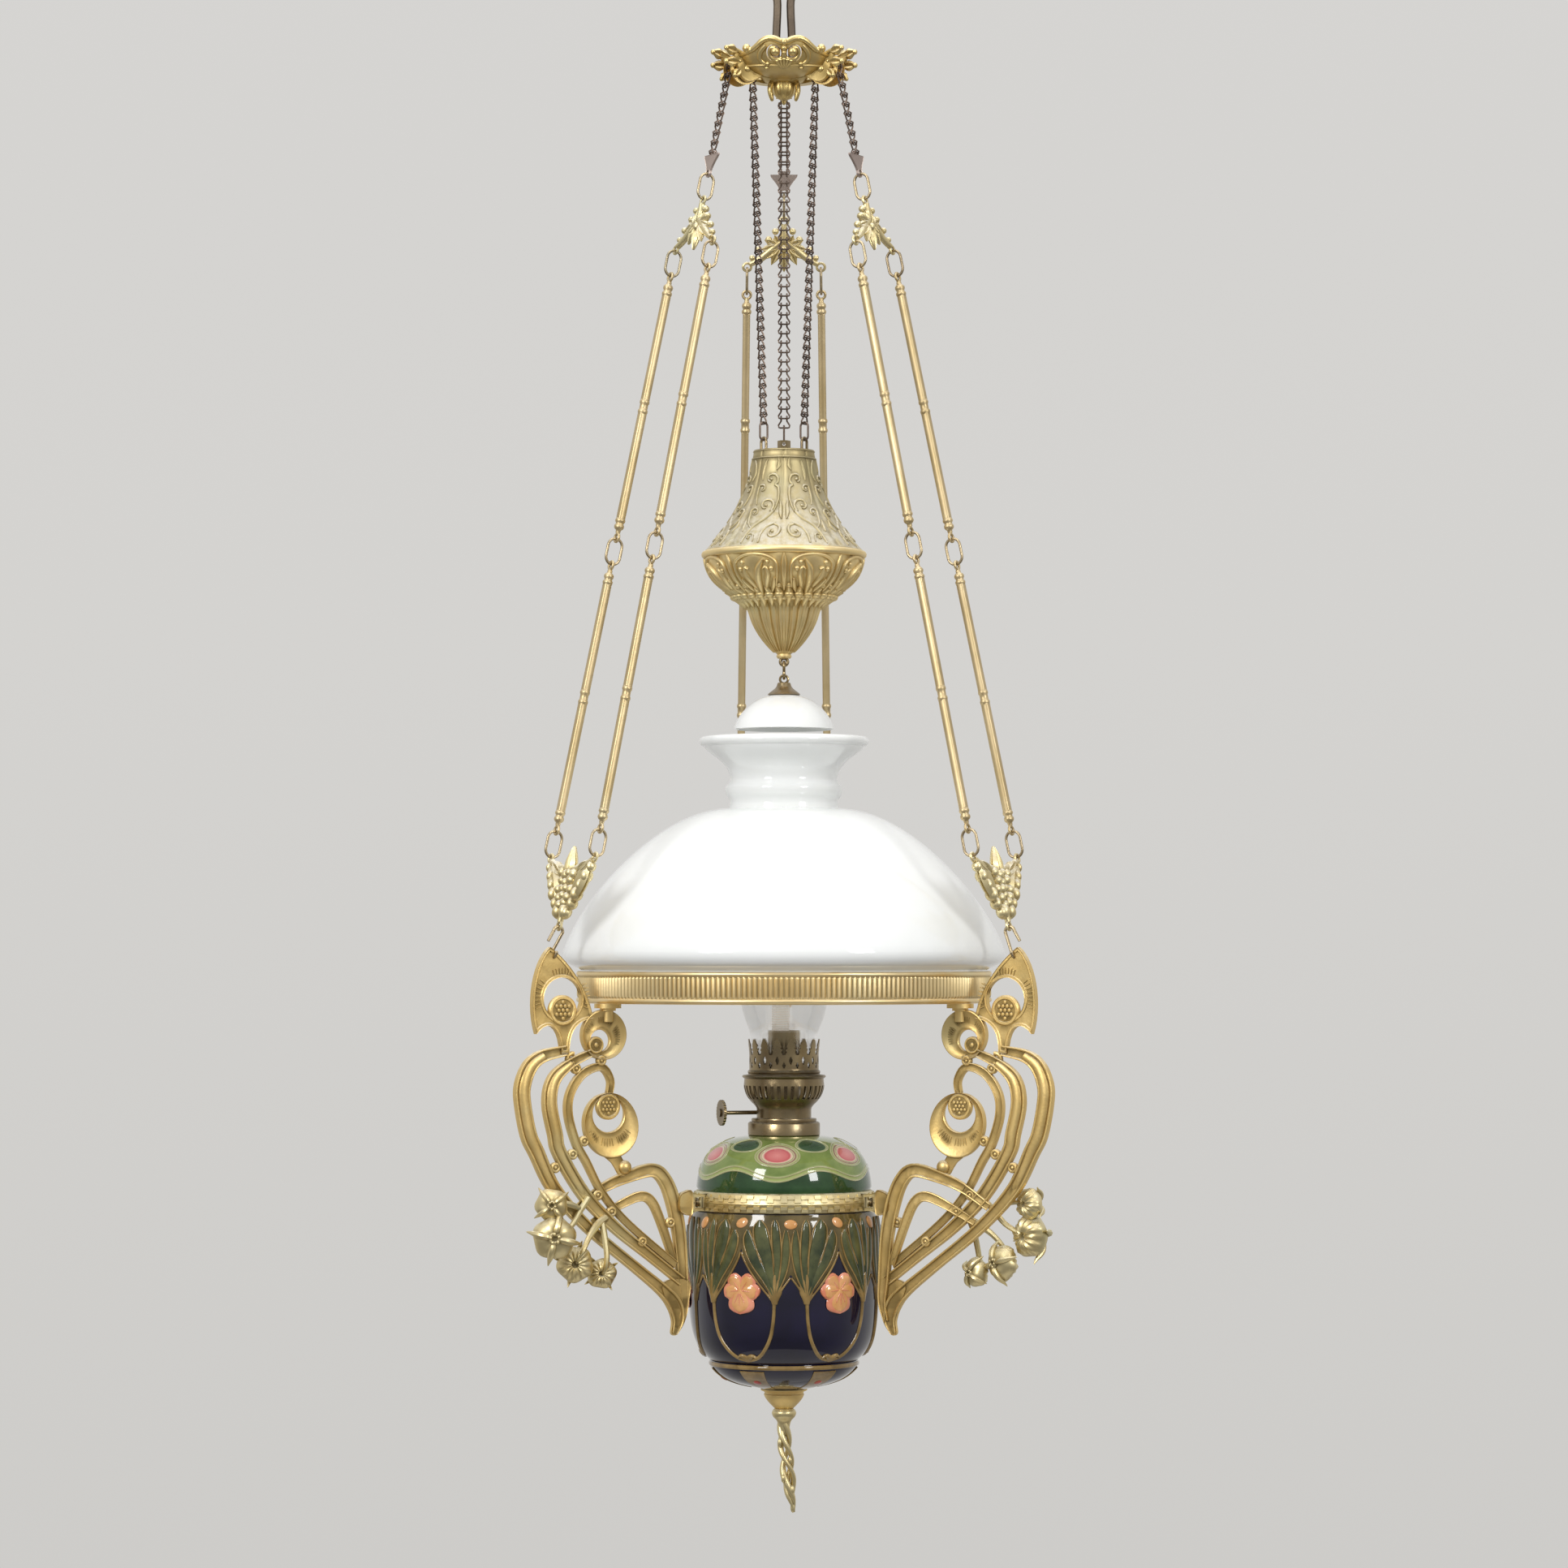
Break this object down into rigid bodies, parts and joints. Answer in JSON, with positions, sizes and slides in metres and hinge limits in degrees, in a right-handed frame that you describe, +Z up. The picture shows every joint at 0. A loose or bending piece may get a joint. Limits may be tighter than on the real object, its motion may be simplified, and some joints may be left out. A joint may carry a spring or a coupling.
{
  "type": "hanging chain oil lamp",
  "caption": "Rise-and-fall hanging oil lamp: pulley canopy, ladder chains, counterweight with smoke bell, opal dome shade, cast arms, glazed font and vase, round burner.",
  "frame": {"origin": "centre of the hanging eye's bore", "axes": "+Z up along the lamp's axis, +Y along the eye's bore, away from the viewer of the picture"},
  "size_m": [0.4168, 0.4145, 1.2384],
  "materials": {
    "gilt_brass": "satin",
    "old_brass": "satin",
    "ring_brass": "satin",
    "iron_loop": "matte",
    "ballast_iron": "matte",
    "chain_steel": "satin",
    "clip_metal": "satin",
    "opal_glass": "gloss",
    "clear_glass": "gloss",
    "font_glaze": "gloss",
    "vase_glaze": "gloss",
    "cotton": "matte"
  },
  "bodies": {
    "canopy": {"hanging_loop": "iron_loop", "canopy": "gilt_brass", "acorn_finial": "gilt_brass", "pulley_axles": "old_brass", "chain_outer_back": "chain_steel", "chain_outer_left": "chain_steel", "chain_outer_right": "chain_steel", "chain_inner_back": "chain_steel", "chain_inner_left": "chain_steel", "chain_inner_right": "chain_steel"},
    "pulley_back": {"pulley_back": "gilt_brass"},
    "pulley_left": {"pulley_left": "gilt_brass"},
    "pulley_right": {"pulley_right": "gilt_brass"},
    "counterweight": {"weight_upper_shell": "gilt_brass", "weight_lower_shell": "gilt_brass", "weight_ballast": "ballast_iron", "weight_tie_rod": "old_brass", "weight_loops": "old_brass", "weight_chain_rings": "chain_steel"},
    "smoke_bell": {"bell_hook": "old_brass", "bell_cap": "old_brass", "smoke_bell": "opal_glass"},
    "lamp": {"chain_clips": "clip_metal", "hanger_rings_back": "ring_brass", "hanger_rings_left": "ring_brass", "hanger_rings_right": "ring_brass", "upper_spreader_back": "gilt_brass", "upper_spreader_left": "gilt_brass", "upper_spreader_right": "gilt_brass", "hanger_rods_back": "gilt_brass", "hanger_rods_left": "gilt_brass", "hanger_rods_right": "gilt_brass", "lower_spreader_back": "gilt_brass", "lower_spreader_left": "gilt_brass", "lower_spreader_right": "gilt_brass", "arm_hooks": "gilt_brass", "arm_back": "gilt_brass", "arm_left": "gilt_brass", "arm_right": "gilt_brass", "shade_ring": "gilt_brass", "ring_nuts": "gilt_brass", "shade": "opal_glass", "font_ring": "gilt_brass", "arm_screws": "old_brass", "font": "font_glaze", "vase": "vase_glaze", "font_collar": "old_brass", "burner_body": "old_brass", "burner_gallery": "old_brass", "wick_tube": "old_brass", "chimney": "clear_glass", "finial_bolt": "old_brass", "finial_cup": "gilt_brass", "pull_finial": "gilt_brass"},
    "wick_knob": {"wick_spindle": "old_brass", "wick_knob": "old_brass"},
    "wick": {"wick": "cotton"}
  },
  "joints": [
    {"name": "lamp_slide", "type": "slide", "parent": "canopy", "child": "lamp", "axis": [0, 0, -1], "range_m": [0, 0.12], "deforming": ["chain_outer_back", "chain_outer_left", "chain_outer_right"]},
    {"name": "weight_slide", "type": "slide", "parent": "canopy", "child": "counterweight", "axis": [0, 0, 1], "range_m": [0, 0.12], "deforming": ["chain_inner_back", "chain_inner_left", "chain_inner_right"]},
    {"name": "back_pulley_turn", "type": "hinge", "parent": "canopy", "child": "pulley_back", "pos_m": [0, 0.0395, -0.079], "axis": [-1, 0, 0], "range_deg": [0, 662]},
    {"name": "left_pulley_turn", "type": "hinge", "parent": "canopy", "child": "pulley_left", "pos_m": [-0.03421, -0.01975, -0.079], "axis": [0.5, -0.866, 0], "range_deg": [0, 662]},
    {"name": "right_pulley_turn", "type": "hinge", "parent": "canopy", "child": "pulley_right", "pos_m": [0.03421, -0.01975, -0.079], "axis": [0.5, 0.866, 0], "range_deg": [0, 662]},
    {"name": "bell_swing", "type": "hinge", "parent": "counterweight", "child": "smoke_bell", "pos_m": [0, 0, -0.54875], "axis": [0, 1, 0], "range_deg": [-10, 10]},
    {"name": "knob_turn", "type": "hinge", "parent": "lamp", "child": "wick_knob", "pos_m": [-0.04834, -0.00089, -0.9062], "axis": [-0.9455, -0.3256, 0], "range_deg": [-345, 0]},
    {"name": "wick_rise", "type": "slide", "parent": "lamp", "child": "wick", "axis": [0, 0, 1], "range_m": [-0.02, 0]}
  ],
  "couplings": [
    {"joint": "weight_slide", "follows": "lamp_slide", "ratio": 1},
    {"joint": "back_pulley_turn", "follows": "lamp_slide", "rad_per_m": 96.154},
    {"joint": "left_pulley_turn", "follows": "lamp_slide", "rad_per_m": 96.154},
    {"joint": "right_pulley_turn", "follows": "lamp_slide", "rad_per_m": 96.154},
    {"joint": "wick_rise", "follows": "knob_turn", "m_per_rad": 0.0033}
  ]
}
